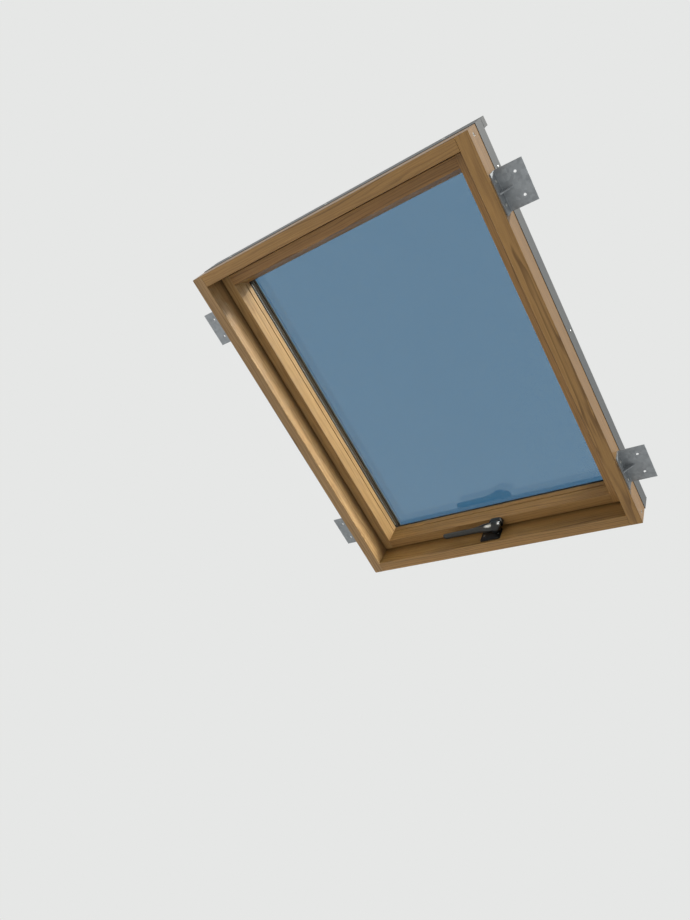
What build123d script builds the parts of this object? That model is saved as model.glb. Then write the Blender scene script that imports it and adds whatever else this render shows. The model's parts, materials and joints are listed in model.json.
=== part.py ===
from build123d import *
import math
import os

# Top hung roof window: timber frame, glazed timber sash, metal cladding, handle and lock.
# Sizes are in millimetres. Every piece is drawn flat, with X across the window, Y up the
# slope and Z outwards, and with the origin in the middle of the frame's room side. The last
# lines tilt the pieces to the roof's pitch, so that the room side faces +Y and down.
# Left and right are as seen from the room, so left is +X.
# In a section, s runs inwards from the frame's inner face and z runs outwards.

# Whole window and frame members
pitch = 36.0
frame_width = 780.0
frame_length = 978.0
frame_thickness = 30.0
frame_depth = 105.0
arris_round = 2.0

# Sash members: room face, bevel towards the glass, groove, and the bead that holds the glass
sash_gap = 6.0
sash_setback = 48.0
sash_face_width = 27.0
bevel_angle = 18.4
bevel_width = 31.0
groove_width = 1.8
groove_depth = 3.0
bead_width = 11.5
lip_reach = 12.0
lip_gap = 4.0
sash_arris_round = 1.2

# Sealed glass unit and its rebate
pane_thickness = 4.0
cavity = 16.0
tape_thickness = 3.0
glass_cover = 13.5
glass_drop = 7.0
edge_clearance = 4.0
edge_seal_width = 5.0
spacer_width = 7.0
tape_setback = 1.5
setting_block_length = 60.0
gasket_thickness = 2.5
gasket_overlap = 2.5

# Folded aluminium cladding
sheet = 1.2
bend_radius = 1.0
cover_overlap = 17.0
cover_overlap_bottom = 9.5
cover_rise = 3.0
cover_slope = 4.0
cover_hem = 1.3
flange_gap = 2.0
flange_foot_gap = 0.8
frame_cover_drop = 45.0
frame_cover_reach = 12.0
hood_start = 10.0
hood_front_height = 28.0
hood_back_height = 26.0

# Rubber seals between sash and frame
seal_width = 6.0
seal_start = 4.0
seal_clearance = 0.3
head_seal_setback = 13.0
head_seal_root = 8.0
head_seal_tip = 2.0

# Hinges along the top edge
hinge_inset = 140.0
hinge_length = 60.0
hinge_centre_knuckle = 28.0
knuckle_gap = 0.3
knuckle_radius = 6.0
pin_radius = 3.0
running_clearance = 0.05
pin_head_radius = 4.5
pin_head_length = 1.8
hinge_axis_setback = 2.5
hinge_axis_rise = 15.0
leaf_thickness = 2.5
sash_leaf_thickness = 2.0
sash_leaf_height = 18.0
frame_leaf_width = 27.0

# Roof brackets
bracket_inset = 140.0
bracket_length = 90.0
bracket_thickness = 2.5
bracket_foot = 60.0
bracket_seat_height = 40.0
bracket_start = 8.0
bracket_hole_radius = 3.0
bracket_hole_spacing = 50.0
bracket_hole_reach = 38.0
gusset_thickness = 3.0
gusset_size = 24.0

# Lock keeper, handle base and lever
hub_offset = -17.0
hub_setback = 23.0
hub_radius = 16.0
hub_side = 8.0
hub_dome = 12.8
base_length = 40.0
base_width = 24.0
base_thickness = 12.0
base_round = 2.5
base_screw_reach = 12.5
cam_thickness = 3.7
cam_running_gap = 0.3
cam_radius = 11.0
cam_arm_width = 8.0
cam_reach_x = 20.0
cam_entry = 3.0
keeper_offset = 2.0
keeper_length = 58.0
keeper_height = 42.0
keeper_drop = 33.0
keeper_thickness = 3.0
keeper_corner = 4.0
keeper_slot_length = 26.0
keeper_slot_gap = 1.0
keeper_screw_reach = 21.0
mortise_depth = 7.0
mortise_margin = 2.0
spindle_side = 7.0
spindle_grip = 9.0
spindle_tail = 19.0
journal_radius = 5.0
tail_bore_radius = 6.0
grub_radius = 2.5
grub_sink = 0.4

# Lever stations: reach from the hub, rise up the slope, distance in front of the hub's
# foot, width and thickness of the oval section. The thick root grows out of the hub's dome,
# and the flat blade runs along the rail to a round tip.
lever_stations = [
    (-7.0, 2.5, 14.0, 10.0, 7.0),
    (2.0, 4.8, 15.0, 20.5, 11.0),
    (10.0, 6.0, 15.3, 26.0, 14.6),
    (22.0, 6.1, 15.1, 26.3, 14.6),
    (34.0, 4.9, 13.8, 23.2, 11.8),
    (48.0, 3.5, 12.3, 19.7, 8.5),
    (64.0, 2.7, 11.4, 18.6, 6.7),
    (96.0, 2.5, 11.0, 18.4, 5.8),
    (140.0, 2.5, 11.0, 17.0, 5.0),
    (151.0, 2.5, 11.0, 11.5, 4.0),
    (156.0, 2.5, 11.0, 4.5, 2.6),
]

# Screws as head radius, head height, shank radius and shank length
bracket_screw = (4.5, 2.4, 2.5, 22.0)
corner_screw = (4.5, 0.0, 2.5, 70.0)
hinge_screw = (3.6, 1.8, 1.9, 24.0)
keeper_screw = (3.2, 1.4, 1.6, 18.0)
base_screw = (3.2, 1.6, 1.7, 26.0)
cover_screw = (3.4, 1.8, 1.7, 14.0)
hole_clearance = 0.1

# Sizes that follow from the ones above
open_width = frame_width - 2 * frame_thickness
open_length = frame_length - 2 * frame_thickness
sash_width = open_width - 2 * sash_gap
sash_length = open_length - 2 * sash_gap
sash_face_height = frame_depth - sash_setback
slant_s = math.sin(math.radians(bevel_angle))
slant_z = math.cos(math.radians(bevel_angle))
sight_line = sash_gap + sash_face_width + (bevel_width + groove_width + bead_width) * slant_s
bed_height = sash_face_height + (bevel_width + groove_width + bead_width) * slant_z
glass_edge = sight_line - glass_cover
glass_edge_bottom = glass_edge - glass_drop
glass_height = bed_height + tape_thickness
glass_top = glass_height + 2 * pane_thickness + cavity
lip_height = frame_depth + lip_gap
cover_height = glass_top + gasket_thickness + sheet
flange_s = -lip_reach - flange_gap
flange_foot = frame_depth + sheet + flange_foot_gap
head_seal_height = frame_depth - head_seal_setback
hinge_offset = frame_width / 2 - hinge_inset
hinge_axis_height = frame_depth + hinge_axis_rise
axis_y = open_length / 2 + hinge_axis_setback
hub_y = -open_length / 2 + hub_setback
base_front = sash_face_height - base_thickness
hub_foot = base_front - cam_running_gap - cam_thickness
keeper_start = hub_foot - keeper_drop

SIDES = {"left": (1, 0), "right": (-1, 0), "top": (0, 1), "bottom": (0, -1)}
parts = {}


def side_plane(side):
    """Section plane of one side: its x is s, its y is z, and its origin is at s = 0."""
    dx, dy = SIDES[side]
    origin = (dx * open_width / 2, dy * open_length / 2, 0)
    inwards = Vector(-dx, -dy, 0)
    return Plane(origin=origin, x_dir=inwards, z_dir=inwards.cross(Vector(0, 0, 1)))


def section(*corners):
    """Closed outline from (s, z) corners, where a third number rounds the corner."""
    points = [corner[:2] for corner in corners]
    radii = [corner[2] if len(corner) > 2 else 0 for corner in corners]
    return make_face(FilletPolyline(*points, radius=radii, close=True))


def run(side, outline, start, end):
    """Outline carried along one side, from one coordinate along that side to another."""
    middle = (start + end) / 2
    along = Pos(middle, 0, 0) if side in ("top", "bottom") else Pos(0, middle, 0)
    return along * extrude(side_plane(side) * outline, amount=(end - start) / 2, both=True)


def folded(path, thickness=sheet):
    """Outline of a folded sheet whose outer surface follows the path of (s, z) corners.

    The sheet lies to the left of the path. Each bend is rounded on both faces.
    """
    steps = [(b[0] - a[0], b[1] - a[1]) for a, b in zip(path, path[1:])]
    normals = [(-dz / math.hypot(ds, dz), ds / math.hypot(ds, dz)) for ds, dz in steps]
    before = [normals[0]] + normals
    after = normals + [normals[-1]]
    outer = []
    inner = []
    for (s, z), (as_, az), (bs, bz) in zip(path, before, after):
        share = thickness / (1 + as_ * bs + az * bz)
        turn = as_ * bz - az * bs
        wide, tight = bend_radius + thickness, bend_radius
        if abs(turn) < 0.01:
            wide, tight = 0, 0
        if turn < 0:
            wide, tight = tight, wide
        outer.append((s, z, wide))
        inner.append((s + (as_ + bs) * share, z + (az + bz) * share, tight))
    return section(*outer, *reversed(inner))


def slab(side_s, bottom_s, z0, z1):
    """Plate whose left, right and top edges lie at side_s and whose lower edge at bottom_s."""
    width = open_width - 2 * side_s
    length = open_length - side_s - bottom_s
    centre = ((bottom_s - side_s) / 2, (z0 + z1) / 2)
    return Pos(0, *centre) * Box(width, length, z1 - z0)


def ring(outer, inner, z0, z1):
    """Closed frame between two slabs, each given as (side s, bottom s)."""
    return slab(*outer, z0, z1) - slab(*inner, z0 - 1, z1 + 1)


def block(x0, x1, y0, y1, z0, z1):
    """Box from its limits along X, Y and Z."""
    centre = Pos((x0 + x1) / 2, (y0 + y1) / 2, (z0 + z1) / 2)
    return centre * Box(x1 - x0, y1 - y0, z1 - z0)


def facing(point, outward, shape):
    """Shape drawn along +Z, set at a point so that +Z looks along outward."""
    return Plane(origin=point, z_dir=outward) * shape


def screw(head_radius, head_height, shank_radius, length):
    """Turned screw with its seat at the origin, or with a sunk head if it has no height."""
    if head_height > 0:
        head = [(shank_radius, 0), (head_radius, 0), (head_radius, head_height * 0.5),
                (head_radius * 0.6, head_height), (0, head_height)]
    else:
        head = [(shank_radius, shank_radius - head_radius), (head_radius, 0), (0, 0)]
    half = [(0, -length), (shank_radius, -length + 2 * shank_radius)] + head
    return revolve(Plane.XZ * make_face(Polyline(*half, close=True)), Axis.Z)


def screw_hole(head_radius, head_height, shank_radius, length):
    """Hole for a screw, with room for a sunk head."""
    depth = length + 1
    hole = Pos(0, 0, 1 - depth / 2) * Cylinder(shank_radius + hole_clearance, depth + 2)
    if head_height > 0:
        return hole
    sink = head_radius - shank_radius
    cone = Cone(shank_radius + hole_clearance, head_radius + hole_clearance, sink)
    return hole + Pos(0, 0, -sink / 2) * cone


def fasten(name, size, places, *through):
    """Group of equal screws, with their holes cut from the named pieces."""
    parts[name] = Compound(children=[facing(p, n, screw(*size)) for p, n in places])
    for piece in through:
        parts[piece] -= [facing(p, n, screw_hole(*size)) for p, n in places]


def make_frame():
    """Through stiles with butted rails, and the keeper's mortise in the lower rail."""
    outline = section(
        (-frame_thickness, 0, arris_round), (0, 0, arris_round),
        (0, frame_depth), (-frame_thickness, frame_depth, arris_round),
    )
    for side in ("left", "right"):
        stile = run(side, outline, -frame_length / 2, frame_length / 2)
        outer_ends = stile.edges().filter_by(Axis.X).group_by(Axis.Z)[-1]
        parts[f"frame_{side}_stile"] = chamfer(outer_ends, arris_round / 2)
    for side in ("top", "bottom"):
        parts[f"frame_{side}_rail"] = run(side, outline, -open_width / 2, open_width / 2)
    half = keeper_slot_length / 2 + mortise_margin
    low = hub_foot - keeper_slot_gap - mortise_margin
    high = hub_foot + cam_thickness + keeper_slot_gap + mortise_margin
    face = -open_length / 2
    parts["frame_bottom_rail"] -= block(
        keeper_offset - half, keeper_offset + half, face - mortise_depth, face + 1, low, high
    )


def sash_outline(upstand_s, with_groove=True, lip=0.0, rounding=sash_arris_round):
    """Section of a sash member: face, bevel, groove, bead, glass bed, upstand and lip."""
    foot = (sash_gap + sash_face_width, sash_face_height)
    top = (foot[0] + bevel_width * slant_s, foot[1] + bevel_width * slant_z)
    corners = [(sash_gap, sash_face_height, rounding), (*foot, rounding)]
    if with_groove:
        deep = (top[0] - groove_depth * slant_z, top[1] + groove_depth * slant_s)
        across = (groove_width * slant_s, groove_width * slant_z)
        corners += [top, deep, (deep[0] + across[0], deep[1] + across[1])]
        corners += [(top[0] + across[0], top[1] + across[1])]
    corners += [(sight_line, bed_height), (upstand_s, bed_height), (upstand_s, glass_top)]
    if lip:
        corners += [(-lip, glass_top), (-lip, lip_height), (sash_gap, lip_height)]
    else:
        corners += [(sash_gap, glass_top)]
    return section(*corners)


def make_sash():
    """Through stiles, and rails coped over the stiles' bevel."""
    side_upstand = glass_edge - edge_clearance
    bottom_upstand = glass_edge_bottom - edge_clearance
    half_width = sash_width / 2
    half_length = sash_length / 2
    stile = sash_outline(side_upstand, lip=lip_reach)
    plain = sash_outline(side_upstand, with_groove=False, lip=lip_reach, rounding=0)
    envelopes = []
    for side in ("left", "right"):
        parts[f"sash_{side}_stile"] = run(side, stile, -half_length, half_length)
        envelopes.append(run(side, plain, -half_length - 1, half_length + 1))
    for side, upstand in (("top", side_upstand), ("bottom", bottom_upstand)):
        rail = run(side, sash_outline(upstand), -half_width, half_width)
        parts[f"sash_{side}_rail"] = rail - envelopes
    lip_end = open_width / 2 + lip_reach
    parts["sash_bottom_rail"] += block(
        -lip_end, lip_end, -open_length / 2 - lip_reach, -half_length, lip_height, glass_top
    )


def make_glass_unit():
    """Two panes on a spacer bar with an edge seal, bedded on tape and setting blocks."""
    edge = (glass_edge, glass_edge_bottom)
    seal_inner = tuple(s + edge_seal_width for s in edge)
    spacer_inner = tuple(s + spacer_width for s in seal_inner)
    cavity_start = glass_height + pane_thickness
    cavity_end = cavity_start + cavity
    parts["inner_pane"] = slab(*edge, glass_height, cavity_start)
    parts["outer_pane"] = slab(*edge, cavity_end, glass_top)
    parts["edge_seal"] = ring(edge, seal_inner, cavity_start, cavity_end)
    parts["spacer_bar"] = ring(seal_inner, spacer_inner, cavity_start, cavity_end)
    tape_inner = sight_line - tape_setback
    parts["glazing_tape"] = ring(edge, (tape_inner, tape_inner), bed_height, glass_height)
    blocks = []
    low = -open_length / 2 + glass_edge_bottom
    for x in (-open_width / 4, open_width / 4):
        half = setting_block_length / 2
        blocks.append(block(x - half, x + half, low - edge_clearance, low, bed_height,
                            cavity_end))
    parts["setting_blocks"] = Compound(children=blocks)
    outer = tuple(s - edge_clearance / 2 for s in edge)
    inner = (glass_edge + cover_overlap - gasket_overlap,
             glass_edge_bottom + cover_overlap_bottom - gasket_overlap)
    gasket = ring(outer, inner, glass_top, glass_top + gasket_thickness)
    parts["outer_gasket"] = gasket


def make_sash_covers():
    """Folded covers: two full length sides, and a top and a bottom between them."""
    top = cover_height + cover_rise
    lip_s = glass_edge + cover_overlap
    lip_bottom_s = glass_edge_bottom + cover_overlap_bottom
    hem = glass_top + cover_hem
    rise_s = glass_edge - edge_clearance
    side_path = [(lip_s, hem), (lip_s, cover_height), (rise_s, cover_height),
                 (rise_s - cover_slope, top), (flange_s - sheet, top),
                 (flange_s - sheet, flange_foot)]
    low_end = -open_length / 2 + flange_s
    high_end = sash_length / 2 + sheet
    cap = section(
        (flange_s - sheet, glass_top + 0.3), (flange_s - sheet, top),
        (rise_s - cover_slope, top), (rise_s, cover_height), (rise_s, glass_top + 0.3),
    )
    for side in ("left", "right"):
        cover = run(side, folded(side_path), low_end, high_end) - parts["outer_gasket"]
        parts[f"sash_cover_{side}"] = cover + run(side, cap, sash_length / 2, high_end)
    inner_end = open_width / 2 - lip_s
    back_s = sash_gap - sheet
    top_path = side_path[:3] + [(rise_s - cover_slope, top), (back_s, top),
                                (back_s, glass_top + 0.3)]
    parts["sash_cover_top"] = run("top", folded(top_path), -inner_end, inner_end)
    bottom_path = [(lip_bottom_s, hem), (lip_bottom_s, cover_height),
                   (flange_s - sheet, cover_height), (flange_s - sheet, flange_foot)]
    bottom = run("bottom", folded(bottom_path), -inner_end, inner_end)
    outer_end = open_width / 2 - flange_s + sheet
    for start, end in ((-outer_end, -inner_end), (inner_end, outer_end)):
        bottom += block(start, end, low_end - sheet, low_end, flange_foot, top)
    parts["sash_cover_bottom"] = bottom


def make_frame_covers():
    """Folded covers on the frame's outer edge, and the closed hood over the top rail."""
    outer_s = -frame_thickness - sheet
    plate_top = frame_depth + sheet
    foot = frame_depth - frame_cover_drop
    path = [(-frame_cover_reach, plate_top), (outer_s, plate_top), (outer_s, foot)]
    half_length = frame_length / 2
    half_width = frame_width / 2 + sheet
    for side in ("left", "right"):
        parts[f"frame_cover_{side}"] = run(side, folded(path), -half_length, half_length)
    plate_end = open_width / 2 + frame_cover_reach
    bottom = run("bottom", folded(path), -plate_end, plate_end)
    for start, end in ((-half_width, -plate_end), (plate_end, half_width)):
        bottom += block(start, end, -half_length - sheet, -half_length, foot, plate_top)
    parts["frame_cover_bottom"] = bottom
    front_foot = frame_depth + leaf_thickness
    front = (-hood_start, frame_depth + hood_front_height)
    back = (outer_s, frame_depth + hood_back_height)
    hood = run("top", folded([(-hood_start, front_foot), front, back, (outer_s, foot)]),
               -half_width, half_width)
    end_cap = section((-hood_start, plate_top), front, back, (outer_s, plate_top))
    for end in (half_width - sheet, -half_width):
        hood += run("top", end_cap, end, end + sheet)
    parts["frame_hood"] = hood


def make_seals():
    """Rubber strip under the sash lip on three sides, and a rubber lip in the top gap."""
    high = lip_height - seal_clearance
    outer = (-seal_start - seal_width,) * 2
    inner = (-seal_start,) * 2
    strip = ring(outer, inner, frame_depth, high)
    strip -= block(-frame_width, frame_width, sash_length / 2, frame_length, 0, high + 1)
    strip = fillet(strip.edges().group_by(Axis.Z)[-1], min(seal_width / 4, lip_gap / 4))
    parts["frame_gasket"] = strip
    tip = sash_gap - seal_clearance
    middle = head_seal_height + head_seal_root / 2
    lip = section((0, head_seal_height), (tip, middle - head_seal_tip / 2),
                  (tip, middle + head_seal_tip / 2), (0, head_seal_height + head_seal_root))
    parts["head_gasket"] = run("top", lip, -sash_width / 2, sash_width / 2)


def make_hinge(side):
    """Butt hinge across the top gap: two knuckles on the frame leaf, one on the sash leaf."""
    x = SIDES[side][0] * hinge_offset
    half = hinge_length / 2
    mid = hinge_centre_knuckle / 2
    bore_radius = pin_radius + running_clearance

    def barrel(x0, x1, radius):
        turn = Plane(origin=(x + x0, axis_y, hinge_axis_height), z_dir=(1, 0, 0))
        return extrude(turn * Circle(radius), amount=x1 - x0)

    bore = barrel(-hinge_length, hinge_length, bore_radius)
    face = open_length / 2
    leaf_top = frame_depth + leaf_thickness
    frame_leaf = block(x - half, x + half, face, face + frame_leaf_width, frame_depth, leaf_top)
    for x0, x1 in ((-half, -mid - knuckle_gap), (mid + knuckle_gap, half)):
        web = block(x + x0, x + x1, axis_y - leaf_thickness, axis_y + leaf_thickness,
                    leaf_top, hinge_axis_height)
        frame_leaf += [web, barrel(x0, x1, knuckle_radius)]
    parts[f"hinge_frame_leaf_{side}"] = frame_leaf - bore
    back = sash_length / 2
    leaf_back = back + sash_leaf_thickness
    sash_leaf = block(x - half, x + half, back, leaf_back, glass_top - sash_leaf_height,
                      glass_top)
    web = block(x - mid, x + mid, leaf_back, axis_y,
                hinge_axis_height - pin_radius, hinge_axis_height + pin_radius)
    sash_leaf += [web, barrel(-mid, mid, knuckle_radius)]
    parts[f"hinge_sash_leaf_{side}"] = sash_leaf - bore
    pin = barrel(-half, half + knuckle_gap, pin_radius)
    pin += barrel(half + knuckle_gap, half + knuckle_gap + pin_head_length, pin_head_radius)
    parts[f"hinge_pin_{side}"] = pin


def make_bracket(side, end):
    """Folded steel angle on the stile's outer face, with a gusset and two fixing holes."""
    y = (frame_length / 2 - bracket_inset) * (1 if end == "top" else -1)
    start, stop = y - bracket_length / 2, y + bracket_length / 2
    corner = (-frame_thickness, bracket_seat_height + bracket_thickness)
    toe = -frame_thickness - bracket_thickness - bracket_foot
    path = [(-frame_thickness, bracket_start), corner, (toe, corner[1])]
    bracket = run(side, folded(path, bracket_thickness), start, stop)
    root = -frame_thickness - bracket_thickness
    gusset = section((root, bracket_seat_height - gusset_size), (root, bracket_seat_height),
                     (root - gusset_size, bracket_seat_height))
    bracket += run(side, gusset, y - gusset_thickness / 2, y + gusset_thickness / 2)
    x = SIDES[side][0] * (open_width / 2 - root + bracket_hole_reach)
    for hole_y in (y - bracket_hole_spacing / 2, y + bracket_hole_spacing / 2):
        hole = Pos(x, hole_y, bracket_seat_height) * Cylinder(bracket_hole_radius,
                                                              bracket_foot / 2)
        bracket -= hole
    parts[f"bracket_{end}_{side}"] = bracket


def make_keeper():
    """Plate on the lower rail's inner face, with the slot that the cam hooks into."""
    middle = keeper_start + keeper_height / 2
    plane = Plane(origin=(keeper_offset, -open_length / 2, middle), x_dir=(1, 0, 0),
                  z_dir=(0, 1, 0))
    plate = RectangleRounded(keeper_length, keeper_height, keeper_corner)
    slot_height = cam_thickness + 2 * keeper_slot_gap
    cam_middle = hub_foot + cam_thickness / 2
    slot = Pos(0, middle - cam_middle) * Rectangle(keeper_slot_length, slot_height)
    parts["keeper"] = extrude(plane * (plate - slot), amount=keeper_thickness)


def room_plane(height):
    """Plane across the handle's axis at a height, looking into the room."""
    return Plane(origin=(hub_offset, hub_y, height), x_dir=(1, 0, 0), z_dir=(0, 0, -1))


def make_handle():
    """Base with its bearing, spindle with a round journal, cam, lever and grub screw."""
    base = extrude(room_plane(sash_face_height) * SlotOverall(base_length, base_width),
                   amount=base_thickness)
    base = fillet(base.edges().group_by(Axis.Z)[0], base_round)
    bearing = extrude(room_plane(sash_face_height + 1)
                      * Circle(journal_radius + running_clearance), amount=base_thickness + 2)
    parts["handle_base"] = base - bearing
    spindle = Rectangle(spindle_side, spindle_side)
    grip_end = hub_foot - spindle_grip
    tail_end = sash_face_height + spindle_tail
    bar = extrude(room_plane(tail_end) * spindle, amount=tail_end - grip_end)
    journal = extrude(room_plane(sash_face_height) * Circle(journal_radius),
                      amount=sash_face_height - hub_foot - cam_thickness)
    parts["handle_spindle"] = bar + journal
    tail_bore = extrude(room_plane(tail_end + 1) * Circle(tail_bore_radius),
                        amount=spindle_tail + 2)
    parts["sash_bottom_rail"] -= tail_bore

    tip_y = hub_setback + cam_entry
    arm_angle = math.degrees(math.atan2(tip_y, cam_reach_x))
    arm_length = math.hypot(tip_y, cam_reach_x)
    arm = Rot(0, 0, arm_angle) * Pos(arm_length / 2, 0) * Rectangle(arm_length, cam_arm_width)
    tip = Pos(cam_reach_x, tip_y) * Circle(cam_arm_width / 2)
    outline = Circle(cam_radius) + arm + tip - spindle
    parts["locking_cam"] = extrude(room_plane(hub_foot + cam_thickness) * outline,
                                   amount=cam_thickness)

    # The section is drawn away from the lever, so that the turned seam stays clear of it.
    half = Polyline((0, hub_side + hub_dome), (0, 0), (-hub_radius, 0), (-hub_radius, hub_side))
    dome = EllipticalCenterArc((0, hub_side), hub_radius, hub_dome, 90, arc_size=90)
    turned = revolve(Plane.XZ * make_face([*half.edges(), dome]), Axis.Z)
    hub = room_plane(hub_foot) * turned
    ovals = []
    for reach, rise, front, width, thickness in lever_stations:
        plane = Plane(origin=(hub_offset + reach, hub_y + rise, hub_foot - front),
                      x_dir=(0, 1, 0), z_dir=(1, 0, 0))
        ovals.append(plane * Ellipse(width / 2, thickness / 2))
    lever = hub + loft(ovals)
    lever -= extrude(room_plane(hub_foot) * spindle, amount=spindle_grip)
    grub_y = hub_y - spindle_side / 2
    grub_z = hub_foot - hub_side / 2
    grub_length = hub_radius - spindle_side / 2 - grub_sink
    tapped = Cylinder(grub_radius + hole_clearance, hub_radius)
    lever -= Pos(hub_offset, grub_y - hub_radius / 2, grub_z) * Rot(90, 0, 0) * tapped
    parts["handle_lever"] = lever
    parts["handle_grub_screw"] = (Pos(hub_offset, grub_y - grub_length / 2, grub_z)
                                  * Rot(90, 0, 0) * Cylinder(grub_radius, grub_length))


def add_screws():
    """All screw groups, with their holes in the pieces that they pass."""
    outer_x = frame_width / 2
    places = []
    for dx in (1, -1):
        for end in (1, -1):
            y = end * (frame_length / 2 - bracket_inset)
            for step in (-bracket_hole_spacing / 2, bracket_hole_spacing / 2):
                x = dx * (outer_x + bracket_thickness)
                z = bracket_start + (bracket_seat_height - bracket_start) / 2
                places.append(((x, y + step, z), (dx, 0, 0)))
    brackets = [f"bracket_{end}_{side}" for end in ("top", "bottom")
                for side in ("left", "right")]
    fasten("bracket_screws", bracket_screw, places, "frame_left_stile", "frame_right_stile",
           *brackets)

    places = []
    for dx in (1, -1):
        for end in (1, -1):
            y = end * (frame_length / 2 - frame_thickness / 2)
            for z in (frame_depth / 4, frame_depth * 3 / 4):
                places.append(((dx * outer_x, y, z), (dx, 0, 0)))
    fasten("frame_corner_screws", corner_screw, places, "frame_left_stile",
           "frame_right_stile", "frame_top_rail", "frame_bottom_rail")

    leaf_screw_x = (-hinge_length / 3, hinge_length / 3)
    hinge_xs = [side * hinge_offset + step for side in (-1, 1) for step in leaf_screw_x]
    leaf_y = open_length / 2 + frame_leaf_width * 2 / 3
    places = [((x, leaf_y, frame_depth + leaf_thickness), (0, 0, 1)) for x in hinge_xs]
    fasten("hinge_frame_screws", hinge_screw, places, "frame_top_rail",
           "hinge_frame_leaf_left", "hinge_frame_leaf_right")
    low = glass_top - sash_leaf_height + hinge_screw[0]
    places = [((x, sash_length / 2 + sash_leaf_thickness, low), (0, 1, 0)) for x in hinge_xs]
    sunk = (hinge_screw[0], 0.0, hinge_screw[2], hinge_screw[3])
    fasten("hinge_sash_screws", sunk, places, "sash_top_rail",
           "hinge_sash_leaf_left", "hinge_sash_leaf_right")

    middle = keeper_start + keeper_height / 2
    face = -open_length / 2 + keeper_thickness
    sunk = (keeper_screw[0], 0.0, keeper_screw[2], keeper_screw[3])
    places = [((keeper_offset + step, face, middle), (0, 1, 0))
              for step in (-keeper_screw_reach, keeper_screw_reach)]
    fasten("keeper_screws", sunk, places, "keeper", "frame_bottom_rail")
    places = [((hub_offset + step, hub_y, base_front), (0, 0, -1))
              for step in (-base_screw_reach, base_screw_reach)]
    sunk = (base_screw[0], 0.0, base_screw[2], base_screw[3])
    fasten("handle_base_screws", sunk, places, "handle_base", "sash_bottom_rail")

    lip_middle = (lip_height + glass_top) / 2
    flange_x = open_width / 2 - flange_s + sheet
    flange_y = -open_length / 2 + flange_s - sheet
    places = []
    for step in (-1, 0, 1):
        y = step * sash_length * 0.4
        places += [((dx * flange_x, y, lip_middle), (dx, 0, 0)) for dx in (1, -1)]
        places.append(((step * sash_width * 0.4, flange_y, lip_middle), (0, -1, 0)))
    fasten("sash_cover_screws", cover_screw, places, "sash_cover_left", "sash_cover_right",
           "sash_cover_bottom", "sash_left_stile", "sash_right_stile", "sash_bottom_rail")

    flange_middle = frame_depth - frame_cover_drop / 2
    places = []
    for step in (-1, 0, 1):
        y = step * frame_length * 0.4
        x = frame_width / 2 + sheet
        places += [((dx * x, y, flange_middle), (dx, 0, 0)) for dx in (1, -1)]
        x = step * frame_width * 0.4
        y = frame_length / 2 + sheet
        places += [((x, dy * y, flange_middle), (0, dy, 0)) for dy in (1, -1)]
    fasten("frame_cover_screws", cover_screw, places, "frame_cover_left",
           "frame_cover_right", "frame_cover_bottom", "frame_hood", "frame_left_stile",
           "frame_right_stile", "frame_top_rail", "frame_bottom_rail")


make_frame()
make_sash()
make_glass_unit()
make_sash_covers()
make_frame_covers()
make_seals()
for hinge_side in ("left", "right"):
    make_hinge(hinge_side)
    for bracket_end in ("top", "bottom"):
        make_bracket(hinge_side, bracket_end)
make_keeper()
make_handle()
add_screws()

os.makedirs("parts", exist_ok=True)
for node, shape in parts.items():
    export_step(Rot(pitch, 0, 0) * shape, f"parts/{node}.step")
print(len(parts), "pieces written")
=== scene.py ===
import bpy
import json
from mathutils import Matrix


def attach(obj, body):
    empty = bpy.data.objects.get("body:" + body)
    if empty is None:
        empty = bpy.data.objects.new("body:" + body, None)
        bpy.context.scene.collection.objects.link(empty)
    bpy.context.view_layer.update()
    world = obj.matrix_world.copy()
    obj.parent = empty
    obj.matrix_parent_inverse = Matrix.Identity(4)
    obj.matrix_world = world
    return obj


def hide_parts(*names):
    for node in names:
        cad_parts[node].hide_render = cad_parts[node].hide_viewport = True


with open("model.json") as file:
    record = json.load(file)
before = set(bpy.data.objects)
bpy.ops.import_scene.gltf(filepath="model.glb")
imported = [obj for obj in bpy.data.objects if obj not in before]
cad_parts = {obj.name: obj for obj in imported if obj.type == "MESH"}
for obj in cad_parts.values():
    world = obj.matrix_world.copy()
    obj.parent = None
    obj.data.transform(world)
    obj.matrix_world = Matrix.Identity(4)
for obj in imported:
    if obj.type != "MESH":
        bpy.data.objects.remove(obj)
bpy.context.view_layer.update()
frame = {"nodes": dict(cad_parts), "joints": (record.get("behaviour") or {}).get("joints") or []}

import json
import math

import bmesh
import bpy
import numpy as np
from mathutils import Quaternion, Vector

nodes = frame["nodes"]


# Camera: stands under the window's right side and looks up at its left lower corner, as
# the photograph does, a little further back so that the whole window shows.

long_side_mm = 36.0
lens_mm = 29.03
view_direction = Vector((0.5611, -0.7223, 0.4044)).normalized()
view_roll = math.radians(-0.8)
aim_point = Vector((0.2707, -0.0862, -0.0627))
photo_distance, step_back = 1.773, 1.13

camera = bpy.data.objects.new("camera", bpy.data.cameras.new("camera"))
bpy.context.scene.collection.objects.link(camera)
camera.data.sensor_width = long_side_mm
camera.data.lens = lens_mm
camera.location = aim_point - view_direction * (photo_distance * step_back)
camera.rotation_mode = "QUATERNION"
camera.rotation_quaternion = (
    Quaternion(view_direction, view_roll) @ view_direction.to_track_quat("-Z", "Y")
)
bpy.context.scene.camera = camera
bpy.context.scene.view_settings.view_transform = "Standard"


# Floor and backdrop: a wide matt sheet far below, and an even pale surround that is
# seen by the camera, in gloss and through glass, while a softer white lights the window.

def linear(hex_colour):
    """Linear colour of an sRGB hex value, opaque."""
    values = [int(hex_colour[i:i + 2], 16) / 255 for i in (1, 3, 5)]
    return [v / 12.92 if v <= 0.04045 else ((v + 0.055) / 1.055) ** 2.4
            for v in values] + [1.0]


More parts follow.
